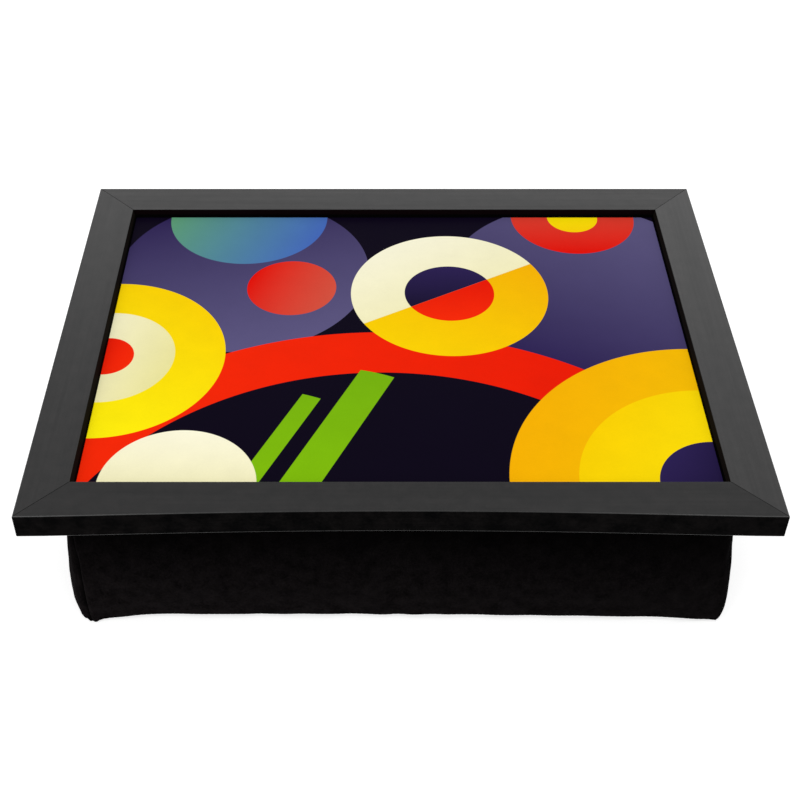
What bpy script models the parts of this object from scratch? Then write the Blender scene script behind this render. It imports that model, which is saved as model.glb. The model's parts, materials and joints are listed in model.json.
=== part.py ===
"""A cushioned lap tray: mitred rails round a printed surface, on a bean cushion.

Metres, +Z up. The origin is on the table under the middle of the tray, and the front faces -Y.
The boards and the print drop into the rails' rebate from below, and the last board carries the
cushion: its cover is folded over the board's edge and stapled there before the board goes in.
"""

import math
from typing import NamedTuple

import bmesh
import bpy
from mathutils import Matrix, Vector

# Frame of picture moulding
FRAME_WIDTH = 0.430
FRAME_DEPTH = 0.330
RAIL_WIDTH = 0.0275
OUTER_EDGE_RADIUS = 0.0006
UNDER_EDGE_RADIUS = 0.0004
SIGHT_EDGE_RADIUS = 0.0004
LIP_DEPTH = 0.0052
SIGHT_SLOPE = 0.0022
SIGHT_BREAK_ACROSS_SHARE = 0.62
SIGHT_BREAK_DOWN_SHARE = 0.60
REBATE_WIDTH = 0.0050
ARC_STEPS = 3

# Boards and print, stacked in the rebate
PRINT_THICKNESS = 0.0005
BASE_BOARD_THICKNESS = 0.0040
BACKING_BOARD_THICKNESS = 0.0030

# V-nails across the mitres
NAIL_WING = 0.0060
NAIL_THICKNESS = 0.0006
NAIL_HEIGHT = 0.0070
NAIL_PLACE_SHARES = (0.33, 0.72)

# Framer's points that hold the base board up
POINT_LENGTH = 0.0120
POINT_WIDTH = 0.0060
POINT_THICKNESS = 0.0006
POINT_BITE_SHARE = 0.5
POINT_TIP_SHARE = 0.25
LONG_POINT_SHARES = (-0.62, 0.0, 0.62)
SHORT_POINT_SHARES = (-0.5, 0.5)

# Staples through the cover's hem
STAPLE_CROWN = 0.0100
STAPLE_WIRE = 0.0006
STAPLE_WIRE_WIDTH = 0.0012
STAPLE_BITE_SHARE = 0.65
STAPLE_LINE_SHARE = 0.62
LONG_STAPLE_SHARES = (-0.82, -0.41, 0.0, 0.41, 0.82)
SHORT_STAPLE_SHARES = (-0.78, -0.26, 0.26, 0.78)

# Cushion: the cover's cloth, and the bulge of its walls
CUSHION_HEIGHT = 0.089
COVER_THICKNESS = 0.0012
HEM_WIDTH = 0.0150
HEM_BEND_RADIUS = 0.0015
FRONT_BELLY = 0.0104
SIDE_BELLY = 0.0112
FRONT_EAR_REACH = 0.0112
SIDE_EAR_REACH = -0.0010
BOTTOM_TUCK = 0.0016
SEAM_HEIGHT = 0.0040
EAR_HEIGHT = 0.0022
BOTTOM_ROLL = 0.0120
TABLE_CUT_DEPTH = 0.0005
SWELL_SPAN_SHARE = 0.60
TUCK_SHARE = 0.09
FRONT_SWELL_POWER = 0.8
SIDE_SWELL_POWER = 1.05
FRONT_CORNER_POWER = 8
SIDE_CORNER_POWER = 14
EAR_POWER = 8
LEAN_POWER = 1.3
ROW_POWER = 1.5
ALONG_STEPS = 12
ACROSS_STEPS = 10
DOWN_STEPS = 7
BEND_STEPS = 2

# Room between pieces that touch, between the cover and its filling, and past each cut
CLEARANCE = 0.0003
FILLING_CLEARANCE = 0.0014
OVERRUN = 0.0020

# Heights above the table, from the stack in the rebate
RAIL_BOTTOM = CUSHION_HEIGHT
BACKING_TOP = RAIL_BOTTOM + BACKING_BOARD_THICKNESS
HEM_TOP = BACKING_TOP + CLEARANCE + COVER_THICKNESS
FASTENER_BOTTOM = HEM_TOP + CLEARANCE
BASE_BOTTOM = FASTENER_BOTTOM + max(POINT_THICKNESS, STAPLE_WIRE) + CLEARANCE
BASE_TOP = BASE_BOTTOM + BASE_BOARD_THICKNESS
PRINT_BOTTOM = BASE_TOP + CLEARANCE
LIP_BOTTOM = PRINT_BOTTOM + PRINT_THICKNESS + CLEARANCE
RAIL_TOP = LIP_BOTTOM + LIP_DEPTH
RAIL_HEIGHT = RAIL_TOP - RAIL_BOTTOM

# Plan sizes, from the middle of the tray
UNDER_WIDTH = RAIL_WIDTH - REBATE_WIDTH
REBATE_X = FRAME_WIDTH / 2 - UNDER_WIDTH
REBATE_Y = FRAME_DEPTH / 2 - UNDER_WIDTH
COVER_X = REBATE_X - CLEARANCE
COVER_Y = REBATE_Y - CLEARANCE
BACKING_INSET = COVER_THICKNESS + CLEARANCE

QUARTER_TURN = math.pi / 2
SMOOTH_ANGLE = math.radians(40)
WELD_DISTANCE = 1e-6


class Side(NamedTuple):
    """One side of the tray: its name, quarter turns from the front, and the sizes that it follows."""

    name: str
    quarters: int
    rail_length: float
    rail_distance: float
    rebate_distance: float
    rebate_half: float
    point_shares: tuple
    staple_shares: tuple


class Wall(NamedTuple):
    """A wall of the cushion: its distance from the middle, its bulge and its ears' reach.

    A higher swell power starts the bulge lower down, and a higher corner power ends it nearer
    the corner seams.
    """

    distance: float
    belly: float
    ear_reach: float
    swell_power: float
    corner_power: float


SIDES = (
    Side("front", 0, FRAME_WIDTH, FRAME_DEPTH / 2, REBATE_Y, REBATE_X, LONG_POINT_SHARES, LONG_STAPLE_SHARES),
    Side("right", 1, FRAME_DEPTH, FRAME_WIDTH / 2, REBATE_X, REBATE_Y, SHORT_POINT_SHARES, SHORT_STAPLE_SHARES),
    Side("back", 2, FRAME_WIDTH, FRAME_DEPTH / 2, REBATE_Y, REBATE_X, LONG_POINT_SHARES, LONG_STAPLE_SHARES),
    Side("left", 3, FRAME_DEPTH, FRAME_WIDTH / 2, REBATE_X, REBATE_Y, SHORT_POINT_SHARES, SHORT_STAPLE_SHARES),
)
LONG_WALL = Wall(COVER_Y, FRONT_BELLY, FRONT_EAR_REACH, FRONT_SWELL_POWER, FRONT_CORNER_POWER)
SHORT_WALL = Wall(COVER_X, SIDE_BELLY, SIDE_EAR_REACH, SIDE_SWELL_POWER, SIDE_CORNER_POWER)


def clear_scene():
    """Removes every object, so that the model starts from nothing."""
    for old in list(bpy.data.objects):
        bpy.data.objects.remove(old, do_unlink=True)


def new_collection(name, helpers=False):
    """A collection in the scene. One of helpers stays out of renders."""
    made = bpy.data.collections.new(name)
    made.hide_render = helpers
    bpy.context.scene.collection.children.link(made)
    return made


def new_material(name, colour, roughness, metallic=0.0):
    """A plain Principled material."""
    made = bpy.data.materials.new(name)
    made.use_nodes = True
    made.diffuse_color = (*colour, 1)
    shader = made.node_tree.nodes["Principled BSDF"]
    shader.inputs["Base Color"].default_value = (*colour, 1)
    shader.inputs["Roughness"].default_value = roughness
    shader.inputs["Metallic"].default_value = metallic
    return made


def finish_mesh(name, bm):
    """A mesh from bm, smooth but for its real edges."""
    mesh = bpy.data.meshes.new(name)
    bm.to_mesh(mesh)
    bm.free()
    mesh.shade_smooth()
    mesh.set_sharp_from_angle(angle=SMOOTH_ANGLE)
    return mesh


def place(name, mesh, collection, material=None, at=(0, 0, 0), turn=0.0):
    """An object in the collection, at a place and turned about Z. One with no material is a cutter."""
    made = bpy.data.objects.new(name, mesh)
    made.location = at
    made.rotation_euler.z = turn
    collection.objects.link(made)
    if material is None:
        made.hide_render = True
        made.display_type = "WIRE"
    elif not mesh.materials:
        mesh.materials.append(material)
    return made


def cut_by(piece, cutters):
    """Cuts every object of a collection out of the piece."""
    cut = piece.modifiers.new("pockets", "BOOLEAN")
    cut.operation = "DIFFERENCE"
    cut.operand_type = "COLLECTION"
    cut.collection = cutters
    cut.solver = "EXACT"


def prism(outline, thickness):
    """A bmesh of a flat outline in XY, given thickness along Z, half of it each way."""
    curve = bpy.data.curves.new("outline", "CURVE")
    curve.dimensions = "2D"
    curve.fill_mode = "BOTH"
    curve.extrude = thickness / 2
    spline = curve.splines.new("POLY")
    spline.points.add(len(outline) - 1)
    for point, (x, y) in zip(spline.points, outline):
        point.co = (x, y, 0, 1)
    spline.use_cyclic_u = True
    guide = bpy.data.objects.new("outline", curve)
    bpy.context.scene.collection.objects.link(guide)
    graph = bpy.context.evaluated_depsgraph_get()
    mesh = bpy.data.meshes.new_from_object(guide.evaluated_get(graph))
    bpy.data.objects.remove(guide, do_unlink=True)
    bm = bmesh.new()
    bm.from_mesh(mesh)
    bpy.data.meshes.remove(mesh)
    bmesh.ops.remove_doubles(bm, verts=bm.verts, dist=WELD_DISTANCE)
    bmesh.ops.recalc_face_normals(bm, faces=bm.faces)
    return bm


def box(low, high):
    """A bmesh of a box between two corners."""
    bm = bmesh.new()
    bmesh.ops.create_cube(bm, size=1)
    size = Vector(high) - Vector(low)
    middle = (Vector(high) + Vector(low)) / 2
    bmesh.ops.transform(bm, matrix=Matrix.Translation(middle) @ Matrix.Diagonal(size).to_4x4(), verts=bm.verts)
    return bm


def arc(centre, radius, start, end):
    """Points of a round edge about a centre, from one angle to another in degrees."""
    angles = [math.radians(start + (end - start) * step / ARC_STEPS) for step in range(ARC_STEPS + 1)]
    return [(centre[0] + radius * math.cos(a), centre[1] + radius * math.sin(a)) for a in angles]


def rail_outline():
    """The moulding's section, as points inwards from the outer face and up from the underside."""
    break_across = SIGHT_SLOPE * SIGHT_BREAK_ACROSS_SHARE
    break_down = LIP_DEPTH * SIGHT_BREAK_DOWN_SHARE
    wall_angle = math.degrees(math.atan2(break_across, break_down))
    under = (UNDER_EDGE_RADIUS, UNDER_EDGE_RADIUS)
    outer = (OUTER_EDGE_RADIUS, RAIL_HEIGHT - OUTER_EDGE_RADIUS)
    sight = (RAIL_WIDTH - SIGHT_EDGE_RADIUS, RAIL_HEIGHT - SIGHT_EDGE_RADIUS)
    return (
        arc(under, UNDER_EDGE_RADIUS, 270, 180)
        + arc(outer, OUTER_EDGE_RADIUS, 180, 90)
        + arc(sight, SIGHT_EDGE_RADIUS, 90, wall_angle)
        + [
            (RAIL_WIDTH + break_across, RAIL_HEIGHT - break_down),
            (RAIL_WIDTH + SIGHT_SLOPE, RAIL_HEIGHT - LIP_DEPTH),
            (UNDER_WIDTH, RAIL_HEIGHT - LIP_DEPTH),
            (UNDER_WIDTH, 0),
        ]
    )


def mitre(bm, length):
    """Cuts both ends of a rail that runs along X at 45 degrees, half a clearance short of the corner."""
    for end in (-1, 1):
        normal = Vector((end, 1, 0)).normalized()
        corner = Vector((end * length / 2, 0, 0)) - normal * CLEARANCE / 2
        geometry = bm.verts[:] + bm.edges[:] + bm.faces[:]
        bmesh.ops.bisect_plane(bm, geom=geometry, plane_co=corner, plane_no=normal, clear_outer=True)
        bmesh.ops.holes_fill(bm, edges=[edge for edge in bm.edges if edge.is_boundary])
    bmesh.ops.recalc_face_normals(bm, faces=bm.faces)


def around(side, along, outward, height):
    """The place on a side of the tray that is given by its run along the side and its distance out."""
    return Matrix.Rotation(side.quarters * QUARTER_TURN, 4, "Z") @ Vector((along, -outward, height))


def build_rails(parts, pockets, material):
    """Four rails cut from one moulding: its section stood up, drawn out along X and mitred."""
    section_to_front = Matrix(((0, 0, 1), (1, 0, 0), (0, 1, 0))).to_4x4()
    for side in SIDES:
        bm = prism(rail_outline(), side.rail_length + 2 * OVERRUN)
        bmesh.ops.transform(bm, matrix=section_to_front, verts=bm.verts)
        mitre(bm, side.rail_length)
        name = f"{side.name}_rail"
        at = around(side, 0, side.rail_distance, RAIL_BOTTOM)
        rail = place(name, finish_mesh(name, bm), parts, material, at, side.quarters * QUARTER_TURN)
        cut_by(rail, pockets)


def nail_outline(grow):
    """A V-nail seen from below: two wings at a right angle, with room of grow all round."""
    half = NAIL_THICKNESS / 2 + grow
    tip = NAIL_WING + grow
    return [(-half, -half), (tip, -half), (tip, half), (half, half), (half, tip), (-half, tip)]


def build_nails(parts, pockets, material):
    """Two V-nails across each mitre, flush with the rails' underside, and the pockets they stand in."""
    pocket_height = NAIL_HEIGHT + CLEARANCE + OVERRUN
    nail_mesh = finish_mesh("v_nail", prism(nail_outline(0), NAIL_HEIGHT))
    pocket_mesh = finish_mesh("nail_pocket", prism(nail_outline(CLEARANCE), pocket_height))
    corners = (("front_left", -1, -1), ("front_right", 1, -1), ("back_right", 1, 1), ("back_left", -1, 1))
    for quarters, (corner, x_sign, y_sign) in enumerate(corners):
        for number, share in enumerate(NAIL_PLACE_SHARES, start=1):
            x = x_sign * (FRAME_WIDTH / 2 - share * UNDER_WIDTH)
            y = y_sign * (FRAME_DEPTH / 2 - share * UNDER_WIDTH)
            turn = quarters * QUARTER_TURN
            nail_at = (x, y, RAIL_BOTTOM + NAIL_HEIGHT / 2)
            pocket_at = (x, y, RAIL_BOTTOM - OVERRUN + pocket_height / 2)
            place(f"v_nail_{corner}_{number}", nail_mesh, parts, material, nail_at, turn)
            place(f"nail_pocket_{corner}_{number}", pocket_mesh, pockets, None, pocket_at, turn)


def point_outline(grow):
    """A framer's point: a flat strip with a tip, half in the rail, its tip towards -Y."""
    half = POINT_WIDTH / 2 + grow
    buried = POINT_LENGTH * POINT_BITE_SHARE
    tip = -buried - grow
    shoulder = -buried + POINT_LENGTH * POINT_TIP_SHARE
    tail = POINT_LENGTH - buried
    return [(-half, shoulder), (0, tip), (half, shoulder), (half, tail), (-half, tail)]


def build_points(parts, pockets, material):
    """Framer's points under the base board, driven into the wall of the rebate."""
    point_mesh = finish_mesh("framers_point", prism(point_outline(0), POINT_THICKNESS))
    pocket_mesh = finish_mesh("point_pocket", prism(point_outline(CLEARANCE), POINT_THICKNESS + 2 * CLEARANCE))
    height = BASE_BOTTOM - CLEARANCE - POINT_THICKNESS / 2
    for side in SIDES:
        for number, share in enumerate(side.point_shares, start=1):
            at = around(side, share * side.rebate_half, side.rebate_distance, height)
            turn = side.quarters * QUARTER_TURN
            place(f"framers_point_{side.name}_{number}", point_mesh, parts, material, at, turn)
            place(f"point_pocket_{side.name}_{number}", pocket_mesh, pockets, None, at, turn)


def build_boards(parts, staple_pockets, print_material, board_material):
    """The print, the board it is bonded to and the board that carries the cushion."""
    x, y = REBATE_X - CLEARANCE, REBATE_Y - CLEARANCE
    printed = box((-x, -y, PRINT_BOTTOM), (x, y, PRINT_BOTTOM + PRINT_THICKNESS))
    place("print_sheet", finish_mesh("print_sheet", printed), parts, print_material)
    base = box((-x, -y, BASE_BOTTOM), (x, y, BASE_TOP))
    place("base_board", finish_mesh("base_board", base), parts, board_material)
    x, y = COVER_X - BACKING_INSET, COVER_Y - BACKING_INSET
    backing = box((-x, -y, RAIL_BOTTOM), (x, y, BACKING_TOP))
    board = place("backing_board", finish_mesh("backing_board", backing), parts, board_material)
    cut_by(board, staple_pockets)


def staple_outline(leg):
    """A staple from the side: its crown on top, with a leg down at each end."""
    outer = STAPLE_CROWN / 2
    inner = outer - STAPLE_WIRE
    return [
        (-outer, -leg),
        (-inner, -leg),
        (-inner, 0),
        (inner, 0),
        (inner, -leg),
        (outer, -leg),
        (outer, STAPLE_WIRE),
        (-outer, STAPLE_WIRE),
    ]


def build_staples(parts, pockets, material):
    """Staples through the hem into the backing board, and the pockets of their legs."""
    leg = FASTENER_BOTTOM - BACKING_TOP + BACKING_BOARD_THICKNESS * STAPLE_BITE_SHARE
    bm = prism(staple_outline(leg), STAPLE_WIRE_WIDTH)
    bmesh.ops.rotate(bm, matrix=Matrix.Rotation(QUARTER_TURN, 3, "X"), verts=bm.verts)
    staple_mesh = finish_mesh("staple", bm)
    half_x = STAPLE_WIRE / 2 + CLEARANCE
    half_y = STAPLE_WIRE_WIDTH / 2 + CLEARANCE
    hole = box((-half_x, -half_y, -leg - CLEARANCE), (half_x, half_y, OVERRUN))
    hole_mesh = finish_mesh("leg_hole", hole)
    leg_offset = (STAPLE_CROWN - STAPLE_WIRE) / 2
    for side in SIDES:
        line = side.rebate_distance - CLEARANCE - HEM_WIDTH * STAPLE_LINE_SHARE
        turn = side.quarters * QUARTER_TURN
        for number, share in enumerate(side.staple_shares, start=1):
            run = share * side.rebate_half
            at = around(side, run, line, FASTENER_BOTTOM)
            place(f"staple_{side.name}_{number}", staple_mesh, parts, material, at, turn)
            for end in (-1, 1):
                hole_at = around(side, run + end * leg_offset, line, FASTENER_BOTTOM)
                place(f"leg_hole_{side.name}_{number}_{end}", hole_mesh, pockets, None, hole_at, turn)


def blend(middle, end, along, power):
    """A value at a share of the way along a wall: middle's over most of it, and end's at its corner seams."""
    return middle + (end - middle) * abs(along) ** power


def wall_offset(wall, along, down, ears=True):
    """How far a wall stands out beyond its top seam, at a share of the way along and down it."""
    swell = math.sin(math.pi * SWELL_SPAN_SHARE * down**wall.swell_power)
    tuck = max(0.0, 1 - (1 - down) / TUCK_SHARE) ** 2
    middle = wall.belly * swell - BOTTOM_TUCK * tuck
    corner = (wall.ear_reach if ears else min(0.0, wall.ear_reach)) * down**LEAN_POWER
    return blend(middle, corner, along, wall.corner_power)


def half_x(along, down, ears=True):
    """Half the cushion's width, at a share of the way along and down its side wall."""
    return SHORT_WALL.distance + wall_offset(SHORT_WALL, along, down, ears)


def half_y(along, down, ears=True):
    """Half the cushion's depth, at a share of the way along and down its front wall."""
    return LONG_WALL.distance + wall_offset(LONG_WALL, along, down, ears)


def seam_height(along):
    """Height of the bottom seam, which drops to the ears at its corners."""
    return blend(SEAM_HEIGHT, EAR_HEIGHT, along, EAR_POWER)


def bottom_height(x_share, y_share):
    """Height of the bottom panel's underside, before the table flattens it."""
    x_room = half_x(y_share, 1) * (1 - abs(x_share))
    y_room = half_y(x_share, 1) * (1 - abs(y_share))
    roll = max(0.0, 1 - min(x_room, y_room) / BOTTOM_ROLL) ** 2
    rim = seam_height(min(abs(x_share), abs(y_share))) - CLEARANCE - COVER_THICKNESS
    return rim * roll - TABLE_CUT_DEPTH * (1 - roll)


def spread_shares(steps):
    """Shares from -1 to 1 that crowd towards both ends, where the cushion's corners turn."""
    return [math.sin(QUARTER_TURN * (2 * step / steps - 1)) for step in range(steps + 1)]


def down_shares():
    """Shares from 0 at the rail to 1 at the bottom seam, crowded towards the seam."""
    return [1 - (1 - step / DOWN_STEPS) ** ROW_POWER for step in range(DOWN_STEPS + 1)]


def wall_rows():
    """Rows of a wall panel as (set in, height or None, down), from its hem to its bottom seam."""
    rows = [(HEM_WIDTH, HEM_TOP, 0)]
    for step in range(BEND_STEPS + 1):
        angle = QUARTER_TURN * step / BEND_STEPS
        set_in = HEM_BEND_RADIUS * (1 - math.sin(angle))
        rows.append((set_in, HEM_TOP - HEM_BEND_RADIUS * (1 - math.cos(angle)), 0))
    return rows + [(0, None, down) for down in down_shares()]


def build_wall(side, parts, pockets, material):
    """One wall of the cover: hem over the backing board, fold, and bulging wall down to its seam."""
    long_side = side.quarters % 2 == 0
    half_out, half_end = (half_y, half_x) if long_side else (half_x, half_y)
    end_gap = 0 if long_side else COVER_THICKNESS + CLEARANCE
    shares = spread_shares(ALONG_STEPS if long_side else ACROSS_STEPS)
    rows = wall_rows()
    bm = bmesh.new()
    bmesh.ops.create_grid(bm, x_segments=len(shares) - 1, y_segments=len(rows) - 1, size=1)
    for vert in bm.verts:
        along = shares[round((vert.co.x + 1) / 2 * (len(shares) - 1))]
        set_in, height, down = rows[round((1 - vert.co.y) / 2 * (len(rows) - 1))]
        if height is None:
            height = RAIL_BOTTOM - down * (RAIL_BOTTOM - seam_height(along))
        run = along * (half_end(1, down) - set_in - end_gap)
        vert.co = (run, set_in - half_out(along, down), height)
    name = f"cover_{side.name}_wall"
    wall = place(name, finish_mesh(name, bm), parts, material, turn=side.quarters * QUARTER_TURN)
    thicken(wall, -1)
    cut_by(wall, pockets)


def thicken(cloth, offset):
    """Gives an open sheet the cover's thickness, on the side that offset says."""
    solid = cloth.modifiers.new("thickness", "SOLIDIFY")
    solid.thickness = COVER_THICKNESS
    solid.offset = offset
    solid.use_even_offset = True


def build_bottom(parts, cutters, material):
    """The cover's bottom panel: rolled up to its seam all round, and flat where it lies on the table."""
    x_shares, y_shares = spread_shares(ALONG_STEPS), spread_shares(ACROSS_STEPS)
    bm = bmesh.new()
    bmesh.ops.create_grid(bm, x_segments=ALONG_STEPS, y_segments=ACROSS_STEPS, size=1)
    for vert in bm.verts:
        x_share = x_shares[round((vert.co.x + 1) / 2 * ALONG_STEPS)]
        y_share = y_shares[round((vert.co.y + 1) / 2 * ACROSS_STEPS)]
        x = x_share * half_x(y_share, 1)
        y = y_share * half_y(x_share, 1)
        vert.co = (x, y, bottom_height(x_share, y_share))
    panel = place("cover_bottom_panel", finish_mesh("cover_bottom_panel", bm), parts, material)
    thicken(panel, 1)
    table = box((-FRAME_WIDTH, -FRAME_DEPTH, -CUSHION_HEIGHT), (FRAME_WIDTH, FRAME_DEPTH, 0))
    place("table_cut", finish_mesh("table_cut", table), cutters)
    cut_by(panel, cutters)


def slice_at(bm, axis, shares):
    """Cuts the whole mesh across an axis at each share, and keeps both halves."""
    normal = Vector([1 if i == axis else 0 for i in range(3)])
    for share in shares:
        geometry = bm.verts[:] + bm.edges[:] + bm.faces[:]
        bmesh.ops.bisect_plane(bm, geom=geometry, plane_co=normal * share, plane_no=normal)


def build_bead_bag(parts, material):
    """The inner bag and its beads: a block cut into rows and bulged, which stops short of the ears."""
    bm = box((-1, -1, 0), (1, 1, 1))
    slice_at(bm, 0, spread_shares(ALONG_STEPS)[1:-1])
    slice_at(bm, 1, spread_shares(ACROSS_STEPS)[1:-1])
    slice_at(bm, 2, [1 - share for share in down_shares()[1:-1]])
    inset = COVER_THICKNESS + FILLING_CLEARANCE
    top = RAIL_BOTTOM - CLEARANCE
    for vert in bm.verts:
        x_share, y_share, down = vert.co.x, vert.co.y, 1 - vert.co.z
        x = x_share * (half_x(y_share, down, ears=False) - inset)
        y = y_share * (half_y(x_share, down, ears=False) - inset)
        low = bottom_height(x_share, y_share) + inset
        vert.co = (x, y, top - down * (top - low))
    place("bead_bag", finish_mesh("bead_bag", bm), parts, material)


def main():
    """Builds the tray from its frame down."""
    clear_scene()
    parts = new_collection("lap_tray")
    rail_pockets = new_collection("rail_pockets", helpers=True)
    staple_pockets = new_collection("staple_pockets", helpers=True)
    table = new_collection("table", helpers=True)
    satin_black = new_material("satin_black_moulding", (0.035, 0.035, 0.036), 0.38)
    laminate = new_material("print_laminate", (0.85, 0.55, 0.05), 0.42)
    hardboard = new_material("hardboard", (0.28, 0.17, 0.09), 0.75)
    steel = new_material("zinc_steel", (0.62, 0.62, 0.60), 0.35, 1.0)
    cover_cloth = new_material("black_suede_cloth", (0.010, 0.009, 0.010), 0.95)
    bag_cloth = new_material("white_bag_cloth", (0.80, 0.80, 0.78), 0.90)
    build_nails(parts, rail_pockets, steel)
    build_points(parts, rail_pockets, steel)
    build_rails(parts, rail_pockets, satin_black)
    build_staples(parts, staple_pockets, steel)
    build_boards(parts, staple_pockets, laminate, hardboard)
    for side in SIDES:
        build_wall(side, parts, staple_pockets, cover_cloth)
    build_bottom(parts, table, cover_cloth)
    build_bead_bag(parts, bag_cloth)


main()
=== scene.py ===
"""Looks of a cushioned lap tray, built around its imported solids.

Metres, +Z up, in the solids' own frame: the front faces -Y and the table is at height zero. The
rails, print, boards and fasteners keep their solids and get their finishes here, apart from the
front rail, which is a copy with its outer face hollowed. The bean cushion is cut, filled and sewn
here, and stands in for the plain solids of its cover and its beads.
"""

import json
import logging
import math
from dataclasses import dataclass
from enum import Enum
from functools import partial, reduce
from typing import Callable

import bmesh
import bpy
import numpy as np
from bpy.types import ID, Material, Mesh, Node, NodeTree, Object
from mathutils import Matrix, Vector, noise

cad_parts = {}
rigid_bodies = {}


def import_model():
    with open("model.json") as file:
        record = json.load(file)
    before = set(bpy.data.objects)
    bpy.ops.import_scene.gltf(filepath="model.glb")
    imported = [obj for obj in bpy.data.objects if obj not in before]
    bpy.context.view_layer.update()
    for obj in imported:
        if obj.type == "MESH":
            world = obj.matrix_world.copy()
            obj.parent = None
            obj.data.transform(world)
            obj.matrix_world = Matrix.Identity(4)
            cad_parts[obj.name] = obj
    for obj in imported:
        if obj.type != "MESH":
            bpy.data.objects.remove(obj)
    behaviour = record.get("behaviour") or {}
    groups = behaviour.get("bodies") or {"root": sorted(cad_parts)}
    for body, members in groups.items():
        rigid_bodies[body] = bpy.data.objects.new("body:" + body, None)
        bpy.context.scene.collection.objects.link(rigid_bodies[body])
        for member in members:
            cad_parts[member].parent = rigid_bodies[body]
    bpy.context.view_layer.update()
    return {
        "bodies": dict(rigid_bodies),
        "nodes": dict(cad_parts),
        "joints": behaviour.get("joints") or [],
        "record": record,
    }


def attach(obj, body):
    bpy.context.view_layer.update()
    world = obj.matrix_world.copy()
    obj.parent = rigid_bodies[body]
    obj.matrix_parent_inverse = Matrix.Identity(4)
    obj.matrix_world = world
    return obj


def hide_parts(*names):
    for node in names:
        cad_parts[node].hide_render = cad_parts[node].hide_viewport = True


LOG = logging.getLogger("lap_tray")

# Sizes of the solids that finishes and the cushion follow
RAIL_BOTTOM = 0.0890
RAIL_TOP = 0.1050
FRAME_HALF_X = 0.2150
FRAME_HALF_Y = 0.1650
RAIL_WIDTH = 0.0275
LIP_DEPTH = 0.0052

# Points closer than this count as one
SAME_PLACE = 1e-6
# Stands in for a length of nothing in a division
NO_MOVE = 1e-9
# Share of a half wave in the curve of the cushion's bellies
BELLY_WAVE = 0.6
# A cut of a printed shape with this much room lies outside the shape
NO_CUT = 1.0
# Sockets of a Mix node that mixes colours
MIX_SHARE, MIX_FIRST, MIX_SECOND, MIX_RESULT = 0, 6, 7, 2

Point = tuple[float, float, float]
Colour = tuple[float, float, float, float]
Socket = bpy.types.NodeSocket
Outputs = bpy.types.bpy_prop_collection
# A point of the cushion's cover: its place, its runs from the corner seams and from the bottom
# seam, and how firmly it is held while the cover is filled, 0 to 1
Spot = tuple[Point, float, float, float]
Ring = list[bmesh.types.BMVert]

WHITE: Colour = (1.0, 1.0, 1.0, 1.0)
BLACK_STAIN: Colour = (0.0027, 0.0009, 0.0013, 1.0)


def ink(red: int, green: int, blue: int) -> Colour:
    """A linear colour from its values on a screen, by the sRGB curve.

    Args:
        red: Red value, 0 to 255.
        green: Green value.
        blue: Blue value.

    Returns:
        The colour with an alpha of 1.
    """
    shares = (red / 255, green / 255, blue / 255)
    linear = [s / 12.92 if s <= 0.04045 else ((s + 0.055) / 1.055) ** 2.4 for s in shares]
    return (linear[0], linear[1], linear[2], 1.0)


def towards(angle: float) -> Point:
    """A unit vector in the plane of the print, at an angle in degrees from +X."""
    turn = math.radians(angle)
    return (math.cos(turn), math.sin(turn), 0.0)


class Run(Enum):
    """The way a rail runs, and so its grain."""

    ALONG_X = "x"
    ALONG_Y = "y"


class Effect(Enum):
    """The shader node groups that finishes share."""

    STREAKS = "lengthwise_streaks"
    MOTTLE = "soft_mottle"
    MOTIF = "printed_motif"


class Mark(Enum):
    """What each point of the cushion's cover carries as an attribute."""

    CORNER = "corner_run"
    HEM = "hem_run"
    HELD = "held"


@dataclass(frozen=True)
class Span:
    """A value's way from start to end, while another value goes from low to high."""

    low: float
    high: float
    start: float = 0.0
    end: float = 1.0
    smooth: bool = False

    def over(self, size: float) -> "Span":
        """The span whose low and high are these shares of a size."""
        return Span(self.low * size, self.high * size, self.start, self.end, self.smooth)


def ranged(start: float, end: float) -> Span:
    """The span that maps a mask, 0 to 1, to a range."""
    return Span(0.0, 1.0, start, end)


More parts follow.
